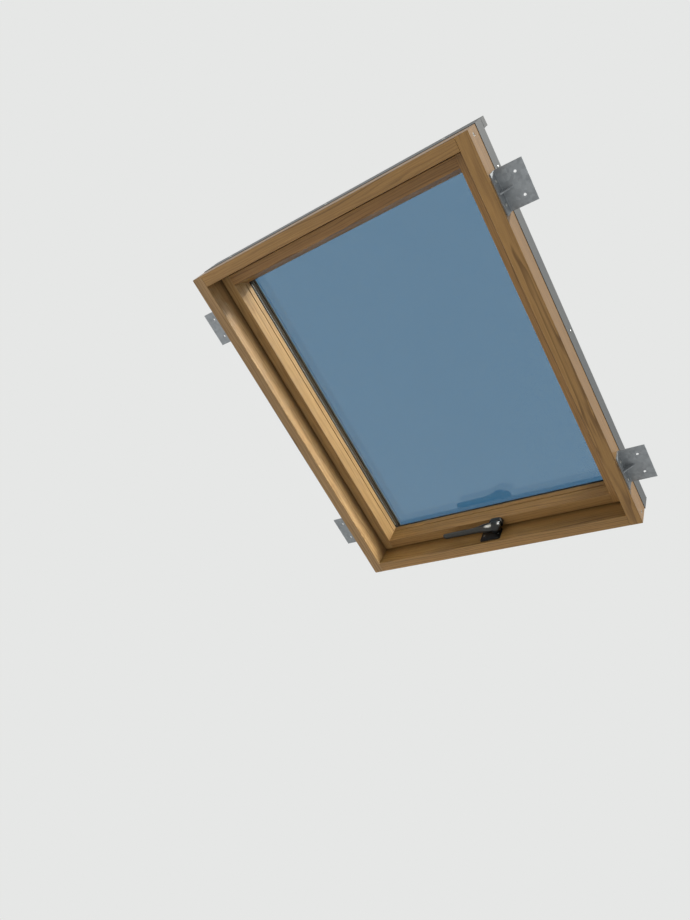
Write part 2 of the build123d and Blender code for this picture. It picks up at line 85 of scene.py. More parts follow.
def add(tree, kind, inputs=(), **settings):
    """One shader node with its settings, and with its sockets set or linked."""
    made = tree.nodes.new("ShaderNode" + kind)
    for name, value in settings.items():
        setattr(made, name, value)
    for name, value in dict(inputs).items():
        if isinstance(value, bpy.types.NodeSocket):
            tree.links.new(value, made.inputs[name])
        else:
            made.inputs[name].default_value = value
    return made


def new_material(name):
    """Empty material and its tree."""
    material = bpy.data.materials.new(name)
    material.use_nodes = True
    material.node_tree.nodes.clear()
    return material, material.node_tree


backdrop_colour = "#E6E7E6"
mirrored_rays = "Is Glossy Ray", "Is Transmission Ray"

world = bpy.data.worlds.new("pale_surround")
world.use_nodes = True
bpy.context.scene.world = world
tree = world.node_tree
tree.nodes.clear()
rays = add(tree, "LightPath")
seen = rays.outputs["Is Camera Ray"]
for ray in mirrored_rays:
    seen = add(tree, "Math", {0: seen, 1: rays.outputs[ray]}, operation="MAXIMUM").outputs[0]
light = add(tree, "Background", {"Color": linear("#F4F6FA"), "Strength": 0.42})
backdrop = add(tree, "Background", {"Color": linear(backdrop_colour), "Strength": 1.0})
surround = add(tree, "MixShader", {0: seen, 1: light.outputs[0], 2: backdrop.outputs[0]})
add(tree, "OutputWorld", {"Surface": surround.outputs[0]})

# Up to shadow_reach from the window's middle the floor shows the shadow through a share of
# the backdrop's even colour, and from fade_reach on it shows that colour alone.
floor_level, floor_reach = -1.75, 300.0
shadow_reach, fade_reach, near_share = 1.9, 3.9, 0.62
floor_mesh = bpy.data.meshes.new("studio_floor")
corners = [(x * floor_reach, y * floor_reach, floor_level)
           for x, y in ((-1, -1), (1, -1), (1, 1), (-1, 1))]
floor_mesh.from_pydata(corners, [], [(0, 1, 2, 3)])
floor = bpy.data.objects.new("studio_floor", floor_mesh)
bpy.context.scene.collection.objects.link(floor)
floor_paint, tree = new_material("matt_floor_paint")
lit = add(tree, "BsdfDiffuse", {"Color": linear("#D8D8D6"), "Roughness": 0.9})
even = add(tree, "Emission", {"Color": linear(backdrop_colour), "Strength": 1.0})
rays = add(tree, "LightPath")
place = add(tree, "TexCoord").outputs["Object"]
away = add(tree, "VectorMath", {0: place}, operation="LENGTH")
fade = add(tree, "MapRange", {"Value": away.outputs["Value"], "From Min": shadow_reach,
                              "From Max": fade_reach, "To Min": near_share, "To Max": 1.0},
           interpolation_type="SMOOTHSTEP")
share = add(tree, "Math", {0: rays.outputs["Is Camera Ray"], 1: fade.outputs[0]},
            operation="MULTIPLY")
for ray in mirrored_rays:
    share = add(tree, "Math", {0: share.outputs[0], 1: rays.outputs[ray]},
                operation="MAXIMUM")
paint = add(tree, "MixShader", {0: share.outputs[0], 1: lit.outputs[0], 2: even.outputs[0]})
add(tree, "OutputMaterial", {"Surface": paint.outputs[0]})
floor_mesh.materials.append(floor_paint)


# Lamps: a soft sun from outside, high and to the right, which comes through the panes
# onto the left stile's bevel, and two wide fills, one on the inner side and one outside.

def lamp(name, kind, place, aim, power, colour, **sizes):
    """Lamp at a place in metres, turned to its aim.

    The lamp itself isn't seen. Without multiple importance sampling no ray that leaves the
    panes finds it either, so that they show no mirror image of it.
    """
    data = bpy.data.lights.new(name, kind)
    data.energy, data.color = power, linear(colour)[:3]
    data.cycles.use_multiple_importance_sampling = False
    for size, value in sizes.items():
        setattr(data, size, value)
    made = bpy.data.objects.new(name, data)
    bpy.context.scene.collection.objects.link(made)
    made.location = place
    made.rotation_euler = (Vector(aim) - Vector(place)).to_track_quat("-Z", "Y").to_euler()
    made.visible_camera = made.visible_transmission = False
    return made


lamp("sun_through_panes", "SUN", place=(-2.703, -1.026, 2.964), aim=(0, 0, 0), power=3.1,
     colour="#FFFCF6", angle=math.radians(2.5))
lamp("inner_fill", "AREA", place=(1.5, 2.4, -0.9), aim=(0.1, 0, 0), power=12,
     colour="#FFFFFF", size=1.8)
outside = lamp("outside_fill", "AREA", place=(4.4, -5.2, 2.8), aim=(0, 0, 0), power=88,
               colour="#F4F8FF", size=3.2)
outside.visible_glossy = False  # it grazes the top rail's bead, which would glare


# Frame: two through stiles with butted rails, planed from pine and finished with a
# clear satin lacquer. The grain runs along each member, and the cut ends show the rings.

pitch = math.radians(36.0)
ring_spacing_mm = 4.6
fibre_width_mm = 1.8
sway_width_mm, flutter_width_mm = 45.0, 11.0
sway_rings, flutter_rings = 7.0, 1.6
figure_stretch, fibre_stretch = 0.07, 0.03
late_start, late_peak = 0.35, 0.86  # parts of a year's ring
planer_pitch_mm, planer_strength, planer_patch_mm, relief_mm = 3.1, 4.0, 70.0, 0.2
late_wood = "#634521"
first_colour, second_colour = 6, 7  # the sockets of a Mix node that take colours


def pine(name, along, pith_mm, early_wood="#916E3E"):
    """Planed pine under clear lacquer: brown rings on honey, with a low satin shine.

    The growth rings lie round a pith line beside the member. A ring's number is the
    distance from the pith over the spacing, swayed by noise that is drawn out along the
    grain. The part of it after the point darkens towards the latewood, by a strength that
    differs from year to year. The fibres are really finer than drawn, and are widened to
    show. The planer's knives leave ripples across the grain in patches: a sine of the way
    along the member, times noise.
    """
    material, tree = new_material(name)
    place = add(tree, "TexCoord").outputs["Object"]
    flat = add(tree, "Mapping", {"Vector": place, "Rotation": (-pitch, 0, 0),
                                 "Location": [-v / 1000 for v in pith_mm]}).outputs[0]
    section, figure, grain = [
        add(tree, "Mapping", {"Vector": flat, "Scale": (
            (stretch, 1, 1) if along == "X" else (1, stretch, 1))}).outputs[0]
        for stretch in (0, figure_stretch, fibre_stretch)]
    sway = add(tree, "TexNoise", {"Vector": figure, "Scale": 1000 / sway_width_mm,
                                  "Detail": 2.0})
    flutter = add(tree, "TexNoise", {"Vector": figure, "Scale": 1000 / flutter_width_mm,
                                     "Detail": 2.0})
    fibre = add(tree, "TexNoise", {"Vector": grain, "Scale": 1000 / fibre_width_mm,
                                   "Detail": 3.0, "Roughness": 0.6})
    reach = add(tree, "VectorMath", {0: section}, operation="LENGTH")
    age = add(tree, "Math", {0: reach.outputs["Value"], 1: 1000 / ring_spacing_mm},
              operation="MULTIPLY")
    age = add(tree, "Math", {0: sway.outputs["Fac"], 1: sway_rings, 2: age.outputs[0]},
              operation="MULTIPLY_ADD")
    age = add(tree, "Math", {0: flutter.outputs["Fac"], 1: flutter_rings,
                             2: age.outputs[0]}, operation="MULTIPLY_ADD")
    season = add(tree, "Math", {0: age.outputs[0]}, operation="FRACT")
    year = add(tree, "Math", {0: age.outputs[0]}, operation="FLOOR")
    luck = add(tree, "TexWhiteNoise", {"W": year.outputs[0]}, noise_dimensions="1D")
    strength = add(tree, "MapRange", {"Value": luck.outputs["Value"], "To Min": 0.25,
                                      "To Max": 0.95})
    ramp = add(tree, "ValToRGB", {"Fac": season.outputs[0]})
    early, late = ramp.color_ramp.elements
    early.position, early.color = late_start, (0, 0, 0, 1)
    late.position, late.color = late_peak, (1, 1, 1, 1)
    next_year = ramp.color_ramp.elements.new(1.0)
    next_year.color = (0, 0, 0, 1)
    dark = add(tree, "Math", {0: ramp.outputs["Color"], 1: strength.outputs[0]},
               operation="MULTIPLY")
    ringed = add(tree, "Mix", {"Factor": dark.outputs[0], first_colour: linear(early_wood),
                               second_colour: linear(late_wood)}, data_type="RGBA")
    fine_tone = add(tree, "MapRange", {"Value": fibre.outputs["Fac"], "From Min": 0.3,
                                       "From Max": 0.7, "To Min": 0.84, "To Max": 1.12})
    broad_tone = add(tree, "MapRange", {"Value": sway.outputs["Fac"], "From Min": 0.3,
                                        "From Max": 0.7, "To Min": 0.88, "To Max": 1.12})
    shade = add(tree, "Math", {0: fine_tone.outputs[0], 1: broad_tone.outputs[0]},
                operation="MULTIPLY")
    colour = add(tree, "VectorMath", {0: ringed.outputs[2], "Scale": shade.outputs[0]},
                 operation="SCALE")
    gloss = add(tree, "MapRange", {"Value": fibre.outputs["Fac"], "To Min": 0.52,
                                   "To Max": 0.36})
    way = add(tree, "SeparateXYZ", {"Vector": flat}).outputs[along]
    cut = add(tree, "Math", {0: way, 1: math.tau * 1000 / planer_pitch_mm},
              operation="MULTIPLY")
    cut = add(tree, "Math", {0: cut.outputs[0]}, operation="SINE")
    patch = add(tree, "TexNoise", {"Vector": flat, "Scale": 1000 / planer_patch_mm})
    patch = add(tree, "MapRange", {"Value": patch.outputs["Fac"], "From Min": 0.45,
                                   "From Max": 0.65, "To Max": planer_strength})
    ripple = add(tree, "Math", {0: cut.outputs[0], 1: patch.outputs[0],
                                2: fibre.outputs["Fac"]}, operation="MULTIPLY_ADD")
    relief = add(tree, "Bump", {"Height": ripple.outputs[0], "Strength": 0.16,
                                "Distance": relief_mm / 1000})
    wood = add(tree, "BsdfPrincipled", {
        "Base Color": colour.outputs[0], "Roughness": gloss.outputs[0],
        "Normal": relief.outputs[0], "Specular IOR Level": 0.3, "Coat Weight": 0.1,
        "Coat Roughness": 0.25,
    })
    add(tree, "OutputMaterial", {"Surface": wood.outputs[0]})
    return material


def dress(material, *names):
    """Gives CAD nodes their material."""
    for name in names:
        mesh = nodes[name].data
        mesh.materials.clear()
        mesh.materials.append(material)


dress(pine("pine_frame_left", "Y", (430, 0, -35), "#95764E"), "frame_left_stile")
dress(pine("pine_frame_right", "Y", (-350, 60, 180)), "frame_right_stile")
dress(pine("pine_frame_top", "X", (120, 540, -50)), "frame_top_rail")
dress(pine("pine_frame_bottom", "X", (-80, -430, -40)), "frame_bottom_rail")


# Frame fixings: countersunk steel screws through the stiles into the rails' ends, and
# folded brackets of hot dip galvanised sheet, each with four screws and a welded gusset.

zinc_cloud_mm = 11.1


def zinc(name, colour, roughness, spangle_mm):
    """Zinc coated steel: a cold grey metal, brighter and duller in patches.

    The coating freezes in flakes that differ a little in how much light they throw back.
    """
    material, tree = new_material(name)
    place = add(tree, "TexCoord").outputs["Object"]
    flakes = add(tree, "TexVoronoi", {"Vector": place, "Scale": 1000 / spangle_mm})
    cloud = add(tree, "TexNoise", {"Vector": place, "Scale": 1000 / zinc_cloud_mm,
                                   "Detail": 4.0})
    pale = add(tree, "MapRange", {"Value": flakes.outputs["Color"], "To Min": 0.82,
                                  "To Max": 1.08})
    tinted = add(tree, "VectorMath", {0: linear(colour)[:3], "Scale": pale.outputs[0]},
                 operation="SCALE")
    dull = add(tree, "MapRange", {"Value": cloud.outputs["Fac"], "To Min": roughness - 0.1,
                                  "To Max": roughness + 0.16})
    metal = add(tree, "BsdfPrincipled", {
        "Base Color": tinted.outputs[0], "Metallic": 1.0, "Roughness": dull.outputs[0],
    })
    add(tree, "OutputMaterial", {"Surface": metal.outputs[0]})
    return material


def in_plane(spots):
    """Points in metres as flat points in mm, with the window's own axes."""
    x, y, z = np.asarray(spots).reshape(-1, 3).T * 1000
    return np.stack([x, y * math.cos(pitch) + z * math.sin(pitch),
                     z * math.cos(pitch) - y * math.sin(pitch)], 1)


def flat_corners(name):
    """Flat points of all corners of a node's mesh."""
    corners = nodes[name].data.vertices
    spots = np.empty(len(corners) * 3)
    corners.foreach_get("co", spots)
    return in_plane(spots)


def solids_of(name):
    """Flat points of each separate solid in a node.

    Corners at one place count as one, and each takes the lowest number among the corners
    that its triangles join, until nothing changes.
    """
    loops = nodes[name].data.loops
    corner = np.empty(len(loops), int)
    loops.foreach_get("vertex_index", corner)
    places, same = np.unique(np.round(flat_corners(name), 3), axis=0, return_inverse=True)
    triangles = same.reshape(-1)[corner].reshape(-1, 3)
    number, before = np.arange(len(places)), None
    while before is None or (number != before).any():
        before = number.copy()
        np.minimum.at(number, triangles, number[triangles].min(1, keepdims=True))
    return [places[number == one] for one in np.unique(number)]


def lay(name, grids, material, sharp=None):
    """Mesh piece from grids of flat points in mm, tilted as the window is.

    Four neighbours on a grid make a face, and its last column meets its first. Edges that
    turn by more than the angle in degrees are shaded sharp.
    """
    grids = np.asarray(grids, float)
    at = np.arange(grids.size // 3).reshape(-1, *grids.shape[-3:-1])
    ahead = np.roll(at, -1, 2)
    faces = np.stack([at[:, :-1], at[:, 1:], ahead[:, 1:], ahead[:, :-1]], -1)
    x, along, rise = grids.reshape(-1, 3).T / 1000
    spots = np.stack([x, along * math.cos(pitch) - rise * math.sin(pitch),
                      along * math.sin(pitch) + rise * math.cos(pitch)], 1)
    mesh = bpy.data.meshes.new(name)
    mesh.from_pydata(spots.tolist(), [], faces.reshape(-1, 4).tolist())
    whole = bmesh.new()
    whole.from_mesh(mesh)
    bmesh.ops.remove_doubles(whole, verts=whole.verts, dist=1e-7)
    whole.to_mesh(mesh)
    whole.free()
    mesh.materials.append(material)
    mesh.shade_smooth()
    if sharp:
        mesh.set_sharp_from_angle(angle=math.radians(sharp))
    piece = bpy.data.objects.new(name, mesh)
    bpy.context.scene.collection.objects.link(piece)
    return piece


# sizes of a screw, as shares of its head's radius
head_rings = 0, 0.14, 0.2, 0.5, 0.58, 0.8, 0.95, 1, 1
cross_reach, cross_half, cross_depth, cross_wall = 0.55, 0.13, 0.34, 0.03
sunk_middle, sunk_rim, shank_share = 0.1, 0.12, 0.52
even_from, even_to, rim_share = 0.6, 0.95, 0.98
# its other sizes
dome_fall, dome_power = 0.6, 2.2
floor_climb = 0.35  # share of the cross's depth, at an arm's end
point_start = 0.8  # share of the length
steepest_sine, widest_wall = 0.7, 0.06  # limits of the turn where the arms meet
even_columns = np.radians([-28, -10, 10, 28, 45])
thinnest_head_mm = 0.05


def screw(radius, height, length, flush):
    """Grid of one cross recess screw, from the middle of its head to its tip.

    It is a surface of turning. Height over the seat is a dome of the radius, less the
    depth of the cross where a point lies within an arm. The five columns of each quarter
    run along an arm's two edges, at the angle whose sine is the arm's half width over the
    radius, so that the cross has straight sides, and they even out towards the rim.
    """
    ring = np.array([*head_rings, shank_share, shank_share, 0]) * radius
    arm, half = cross_reach * radius, cross_half * radius
    sunk, seat, cone = (
        (sunk_middle * radius, -sunk_rim * radius, (1 - shank_share) * radius)
        if flush else (0, 0, 0))
    top = height * (1 - dome_fall * (ring / radius) ** dome_power) - sunk
    top[len(head_rings) - 1:] = seat, seat - cone, -point_start * length, -length
    edge = np.arcsin(np.clip(half / np.maximum(ring, half), 0, steepest_sine))
    wall = np.clip(cross_wall * radius / np.maximum(ring, half), 0, widest_wall)
    turn = np.stack([-edge - wall, -edge, edge, edge + wall, 0 * edge + math.pi / 4], 1)
    on_arm, in_middle = ring <= arm, ring < half * math.sqrt(2)
    within = np.stack([in_middle, on_arm, on_arm, in_middle, in_middle], 1)
    within[len(head_rings):] = False
    rise = top[:, None] - within * cross_depth * radius * (1 - floor_climb * ring / arm)[:, None]
    share = np.clip((ring / radius - even_from) / (even_to - even_from), 0, 1)[:, None]
    share[len(head_rings):] = 1
    turn = turn * (1 - share) + even_columns * share
    turn = np.concatenate([turn + quarter * math.pi / 2 for quarter in range(4)], 1)
    return np.stack([ring[:, None] * np.cos(turn), ring[:, None] * np.sin(turn),
                     np.tile(rise, 4)], -1)


def drive_screws(node, body, length, flush=False):
    """Replaces a node's screws one by one, each turned to its own axis.

    A screw's axis is its longest side, and its head is at the end where it is widest.
    """
    driven = []
    for solid in solids_of(node):
        low, high = solid.min(0), solid.max(0)
        axis = int(np.argmax(high - low))
        middle = (low + high) / 2
        aside = np.linalg.norm(np.delete(solid - middle, axis, 1), axis=1)
        radius = aside.max()
        rim = solid[aside > rim_share * radius, axis]
        out = np.sign(rim.mean() - middle[axis])
        end = middle[axis] + out * (high - low)[axis] / 2
        seat = (rim * out).min() * out
        height = max(abs(end - seat), thinnest_head_mm)
        axes = np.eye(3)[[(axis + 1) % 3, (axis + 2) % 3, axis]]
        axes[[0, 2]] *= out
        middle[axis] = end if flush else seat
        driven.append(middle + screw(radius, height, length, flush) @ axes)
    piece = lay(node + "_driven", driven, bright_zinc, sharp=40)
    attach(piece, body)
    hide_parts(node)


galvanised = zinc("galvanised_steel", "#A3A7AA", roughness=0.62, spangle_mm=7.0)
bright_zinc = zinc("bright_zinc_steel", "#BFC0BC", roughness=0.28, spangle_mm=1.5)
dress(galvanised, "bracket_top_left", "bracket_top_right", "bracket_bottom_left",
      "bracket_bottom_right")
drive_screws("bracket_screws", "frame", length=22)
drive_screws("frame_corner_screws", "frame", length=70, flush=True)


# Sash: two through stiles, and rails that are coped over the stiles' bevel, of the
# same lacquered pine. A groove parts the bevel from the bead that holds the panes.

# paler, less saturated early wood on the left stile: painted sunlight
dress(pine("pine_sash_left_painted_sun", "Y", (290, 30, -20), "#98784C"), "sash_left_stile")
dress(pine("pine_sash_right", "Y", (-400, -50, 10), "#957040"), "sash_right_stile")
dress(pine("pine_sash_top", "X", (60, 390, 20), "#8E693A"), "sash_top_rail")
# darker early wood on the bottom rail: painted shade
dress(pine("pine_sash_bottom_painted_shade", "X", (40, -500, 20), "#87663A"), "sash_bottom_rail")


# Glass unit: two panes of float glass with a cavity between them, shut at the edges by
# black sealant. The outer pane is tinted blue, which is painted sky light seen through the
# panes, and the tint stops short of the side covers, so that a fine bright line, a painted
# glint, shows beside the spacer.

painted_glint_margin_mm = 2.6


def float_glass(name, tint, sky_tint_half=None):
    """Float glass: clear, with a sharp mirror image of what is before it.

    A pane given a tint half has its tint, painted sky light, within half a width in metres
    from the middle, and is near clear beyond, which shows as a painted glint. Shadow rays
    pass unbent, so that the sun lights what is behind the glass.
    """
    material, tree = new_material(name)
    glass = add(tree, "BsdfPrincipled", {
        "Base Color": linear(tint), "Roughness": 0.0, "IOR": 1.52,
        "Transmission Weight": 1.0,
    })
    if sky_tint_half:
        place = add(tree, "TexCoord").outputs["Object"]
        axes = add(tree, "SeparateXYZ", {"Vector": place}).outputs
        aside = add(tree, "Math", {0: axes["X"]}, operation="ABSOLUTE")
        # beyond the tinted half width the pane is near clear: a painted glint beside the side
        # covers
        bright_patch = add(tree, "Math", {0: aside.outputs[0], 1: sky_tint_half},
                   operation="GREATER_THAN")
        colour = add(tree, "Mix", {"Factor": bright_patch.outputs[0], first_colour: linear(tint),
                                   second_colour: linear("#F4F8F6")}, data_type="RGBA")
        tree.links.new(colour.outputs[2], glass.inputs["Base Color"])
    clear = add(tree, "BsdfTransparent", {"Color": linear("#FFFFFF")})
    rays = add(tree, "LightPath")
    pane = add(tree, "MixShader", {0: rays.outputs["Is Shadow Ray"], 1: glass.outputs[0],
                                   2: clear.outputs[0]})
    add(tree, "OutputMaterial", {"Surface": pane.outputs[0]})
    return material


bloom_mm = 16.7


def dull_polymer(name, colour, roughness, shine=0.5):
    """Sealant, rubber or moulded plastic: dull, with a paler bloom in soft patches."""
    material, tree = new_material(name)
    place = add(tree, "TexCoord").outputs["Object"]
    bloom = add(tree, "TexNoise", {"Vector": place, "Scale": 1000 / bloom_mm, "Detail": 5.0})
    shade = add(tree, "MapRange", {"Value": bloom.outputs["Fac"], "To Min": 0.8,
                                   "To Max": 1.5})
    tinted = add(tree, "VectorMath", {0: linear(colour)[:3], "Scale": shade.outputs[0]},
                 operation="SCALE")
    skin = add(tree, "BsdfPrincipled", {
        "Base Color": tinted.outputs[0], "Roughness": roughness,
        "Specular IOR Level": shine,
    })
    add(tree, "OutputMaterial", {"Surface": skin.outputs[0]})
    return material


cover_edge_mm = np.abs(flat_corners("sash_cover_left")[:, 0]).min()
dress(float_glass("clear_float_glass", "#F0F6F3"), "inner_pane")
# the outer pane's blue is painted sky light seen through it, and its near clear margin is a
# painted glint
dress(float_glass("sky_tinted_glass", "#4C7CA3",
                  sky_tint_half=(cover_edge_mm - painted_glint_margin_mm) / 1000), "outer_pane")
dress(dull_polymer("butyl_sealant", "#0B0B0B", roughness=0.6, shine=0.15), "edge_seal")


# Spacer: a hollow black bar that holds the panes apart. Slots are punched in rows along
# the faces that it turns to the cavity, and their lips shine as bare metal.

punch_length, punch_width, punch_pitch, punch_margin = 2.6, 2.0, 4.8, 12.0
punch_rise = 0.22  # share of the bar's height
lip_height = 0.15
slot_columns = 10
# share of a slot's half size, share of the lip's height
slot_rings = np.array([(0, 0.02), (0.5, 0.04), (0.62, 1), (0.85, 1), (1, -0.1), (0, -0.1)])
streak_mm = 1.43


def bare_aluminium(name):
    """Aluminium as it comes from the mill: bright, with fine duller streaks."""
    material, tree = new_material(name)
    place = add(tree, "TexCoord").outputs["Object"]
    streak = add(tree, "TexNoise", {"Vector": place, "Scale": 1000 / streak_mm,
                                    "Detail": 2.0})
    dull = add(tree, "MapRange", {"Value": streak.outputs["Fac"], "To Min": 0.25,
                                  "To Max": 0.5})
    metal = add(tree, "BsdfPrincipled", {
        "Base Color": linear("#D5D2CC"), "Metallic": 0.85, "Roughness": dull.outputs[0],
    })
    add(tree, "OutputMaterial", {"Surface": metal.outputs[0]})
    return material


def punched_slots(material):
    """Rows of punched slots on the four faces that the spacer turns to the cavity.

    One slot is an ellipse: its rings go up to a raised lip and down to the face again, and
    are closed under it. Each face repeats it at even steps.
    """
    bar = flat_corners("spacer_bar")
    low, high = bar.min(0), bar.max(0)
    bar_width = np.ptp(np.unique(np.abs(bar[:, 0]).round(2)))
    turn = np.linspace(0, math.tau, slot_columns, endpoint=False)
    reach, lift = slot_rings.T[:, :, None]
    slot = np.stack([reach * np.cos(turn) * punch_length / 2,
                     reach * np.sin(turn) * punch_width / 2,
                     lift * lip_height + 0 * turn], -1)
    rows = []
    for normal in np.array([[-1, 0, 0], [1, 0, 0], [0, -1, 0], [0, 1, 0]]):
        run = np.cross([0, 0, 1], normal)
        half = abs(normal @ (high - low)) / 2 - bar_width
        length = abs(run @ (high - low)) / 2 - bar_width - punch_margin
        steps = np.arange(-length, length, punch_pitch)
        middle = (low + high) / 2 - normal * half
        middle[2] = low[2] + punch_rise * (high[2] - low[2])
        places = middle + steps[:, None] * run
        rows.append(places[:, None, None] + slot @ np.stack([run, [0, 0, 1], normal]))
    return lay("spacer_slots", np.concatenate(rows), material)


dress(dull_polymer("black_spacer_profile", "#060606", roughness=0.7, shine=0.1),
      "spacer_bar")
slots = punched_slots(bare_aluminium("mill_aluminium"))
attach(slots, "sash")


# Seals and blocks: extruded rubber strips under and over the glass and along the frame's
# edge and head. Two hard plastic blocks carry the weight of the panes.

epdm = dull_polymer("epdm_rubber", "#18191A", roughness=0.6)
dress(epdm, "outer_gasket", "glazing_tape", "frame_gasket", "head_gasket")
dress(dull_polymer("hard_block_plastic", "#2C5A3A", roughness=0.5), "setting_blocks")


# Cladding: folded aluminium sheet with a baked grey coating, held by screws. Four covers
# protect the sash, three protect the frame, and a hood closes the gap over the top rail.

dust_patch_mm = 71.4


def coated_aluminium(name, colour):
    """Powder coated sheet: an even satin under a faint film of dust, which dulls it."""
    material, tree = new_material(name)
    place = add(tree, "TexCoord").outputs["Object"]
    dust = add(tree, "TexNoise", {"Vector": place, "Scale": 1000 / dust_patch_mm,
                                  "Detail": 6.0, "Roughness": 0.65})
    film = add(tree, "MapRange", {"Value": dust.outputs["Fac"], "From Min": 0.35,
                                  "From Max": 0.75, "To Min": 0.0, "To Max": 0.12})
    dusty = add(tree, "Mix", {"Factor": film.outputs[0], first_colour: linear(colour),
                              second_colour: linear("#8E8A80")}, data_type="RGBA")
    rough = add(tree, "MapRange", {"Value": dust.outputs["Fac"], "To Min": 0.42,
                                   "To Max": 0.64})
    coating = add(tree, "BsdfPrincipled", {
        "Base Color": dusty.outputs[2], "Roughness": rough.outputs[0],
    })
    add(tree, "OutputMaterial", {"Surface": coating.outputs[0]})
    return material


cladding = coated_aluminium("coated_aluminium_grey", "#4A4E50")
dress(cladding, "frame_cover_left", "frame_cover_right", "frame_cover_bottom", "frame_hood",
      "sash_cover_left", "sash_cover_right", "sash_cover_top", "sash_cover_bottom")
drive_screws("frame_cover_screws", "frame", length=14)
drive_screws("sash_cover_screws", "sash", length=14)


# Hinges: two butt hinges of zinc coated steel across the top gap, each turning on a
# steel pin. One leaf is screwed on the frame's top rail, and one behind the sash's.

dress(galvanised, "hinge_frame_leaf_left", "hinge_frame_leaf_right",
      "hinge_sash_leaf_left", "hinge_sash_leaf_right")
dress(bright_zinc, "hinge_pin_left", "hinge_pin_right")
drive_screws("hinge_frame_screws", "frame", length=24)
drive_screws("hinge_sash_screws", "sash", length=24)


# Lever: die cast zinc under a dark bronze lacquer, which is worn bright at the root; the
# bright patch is partly wear and partly a painted highlight of the sun. A round hub flows
# through the thick root into a flat blade. It sits on the lock's spindle and turns on the
# sash's bottom rail.

turning = next(joint for joint in frame["joints"] if joint["name"] == "handle_turn")
hub_place = in_plane(turning["pos_m"])[0]
lever_corners = flat_corners("handle_lever")
hub_foot = lever_corners[:, 2].max()
hub_radius = hub_place[0] - lever_corners[:, 0].min()
tip_reach = lever_corners[:, 0].max() - hub_place[0]
# reach from the hub, rise up the slope, distance before the hub's foot, width, thickness
lever_stations = np.array([
    (2.0, 5.0, 15.0, 21.0, 10.0),
    (9.0, 6.0, 15.3, 26.0, 14.6),
    (20.0, 6.2, 15.2, 26.5, 14.8),
    (31.0, 5.2, 14.2, 24.0, 12.6),
    (44.0, 3.8, 12.6, 20.2, 9.2),
    (60.0, 2.8, 11.5, 18.6, 6.9),
    (95.0, 2.5, 11.0, 18.5, 5.8),
    (157.0, 2.5, 11.0, 17.4, 4.8),
])
lever_rows, lever_columns, hub_columns = 110, 56, 64
lever_power = 2 / 2.45  # an ellipse has 1, and less makes it squarer
root_round, tip_round = 4.0, 9.0
ridge_height, ridge_turn, ridge_width = 1.5, math.radians(52), math.radians(13)
ridge_start, ridge_end, ridge_onset, ridge_fall = 14.0, 70.0, 14.0, 34.0
# distance from the axis and height over the foot, for a hub of 16 mm radius
hub_profile = np.array([
    (0, 20.8), (3.5, 20.7), (7, 20.2), (10, 19.3), (12.4, 17.9), (14.2, 15.9), (15.3, 13.4),
    (15.85, 10.6), (16, 8), (16, 3.4), (15.9, 3.0), (15.3, 2.8), (15.3, 2.1), (15.9, 1.9),
    (16, 1.5), (16, 0), (0, 0),
])
# place and half sizes of the bright worn patch, which is partly a painted highlight
wear_and_highlight_reach, wear_and_highlight_half_mm = 9.0, (15.0, 4.6, 5.4)
polish_patch_mm, chip_mm, chip_strength = 22.2, 3.85, 0.9


def flowing(stations, at):
    """Cubic through rows of values, whose slope at each row is that of its neighbours."""
    place, value = stations[:, 0], stations[:, 1:]
    slope = np.gradient(value, place, axis=0)
    k = np.clip(np.searchsorted(place, at) - 1, 0, len(place) - 2)
    gap = (place[k + 1] - place[k])[:, None]
    t = (at - place[k])[:, None] / gap
    before = (2 * t ** 3 - 3 * t ** 2 + 1) * value[k] + (t ** 3 - 2 * t ** 2 + t) * gap * slope[k]
    after = (3 * t ** 2 - 2 * t ** 3) * value[k + 1] + (t ** 3 - t ** 2) * gap * slope[k + 1]
    return before + after


def lever_skin(material):
    """Lever from the hub to its round tip.

    A section is a squared ellipse: a power of the cosine times half the width, and the
    same power of the sine times half the thickness. Both halves shrink into the round root
    and tip with the root of one less the square of the way in. A soft ridge stands on the
    front: a bell curve of the turn, which fades in and out along the reach.
    """
    first = lever_stations[0, 0]
    along = 0.5 - 0.5 * np.cos(np.linspace(0, math.pi, lever_rows))
    reach = first + (tip_reach - first) * along
    rise, front, width, thickness = flowing(lever_stations, reach).T
    into_tip = np.clip((reach - tip_reach + tip_round) / tip_round, 0, 1)
    into_root = np.clip((first + root_round - reach) / root_round, 0, 1)
    close = np.sqrt(1 - into_tip ** 2) * np.sqrt(1 - into_root ** 2)
    turn = np.linspace(0, math.tau, lever_columns, endpoint=False)
    across = np.sign(np.cos(turn)) * np.abs(np.cos(turn)) ** lever_power
    out = np.sign(np.sin(turn)) * np.abs(np.sin(turn)) ** lever_power
    fade = (np.clip((reach - ridge_start) / ridge_onset, 0, 1)
            * np.clip((ridge_end - reach) / ridge_fall, 0, 1))
    ridge = ridge_height * (fade ** 2 * (3 - 2 * fade))[:, None] * np.exp(
        -((turn - ridge_turn) / ridge_width) ** 2)
    x = hub_place[0] + reach[:, None] + 0 * turn
    y = hub_place[1] + rise[:, None] + (width / 2 * close)[:, None] * across
    z = hub_foot - front[:, None] - (thickness / 2 * close)[:, None] * out - ridge
    return lay("lever_grip", np.stack([x, y, z], -1), material)


def hub_skin(material):
    """Hub turned about the spindle: a dome, a straight rim and a fine groove by its foot."""
    reach, height = hub_profile.T[:, :, None]
    radius = reach / reach.max() * hub_radius
    turn = np.linspace(0, math.tau, hub_columns, endpoint=False)
    spots = np.stack([hub_place[0] + radius * np.cos(turn),
                      hub_place[1] - radius * np.sin(turn),
                      hub_foot - height + 0 * turn], -1)
    return lay("lever_hub", spots, material, sharp=35)


def ridge_spot(reach):
    """Flat point in mm on the ridge, at a distance from the hub."""
    rise, front, width, thickness = flowing(lever_stations, np.array([reach]))[0]
    return (hub_place[0] + reach,
            hub_place[1] + rise + width / 2 * math.cos(ridge_turn) ** lever_power,
            hub_foot - front - thickness / 2 * math.sin(ridge_turn) ** lever_power)


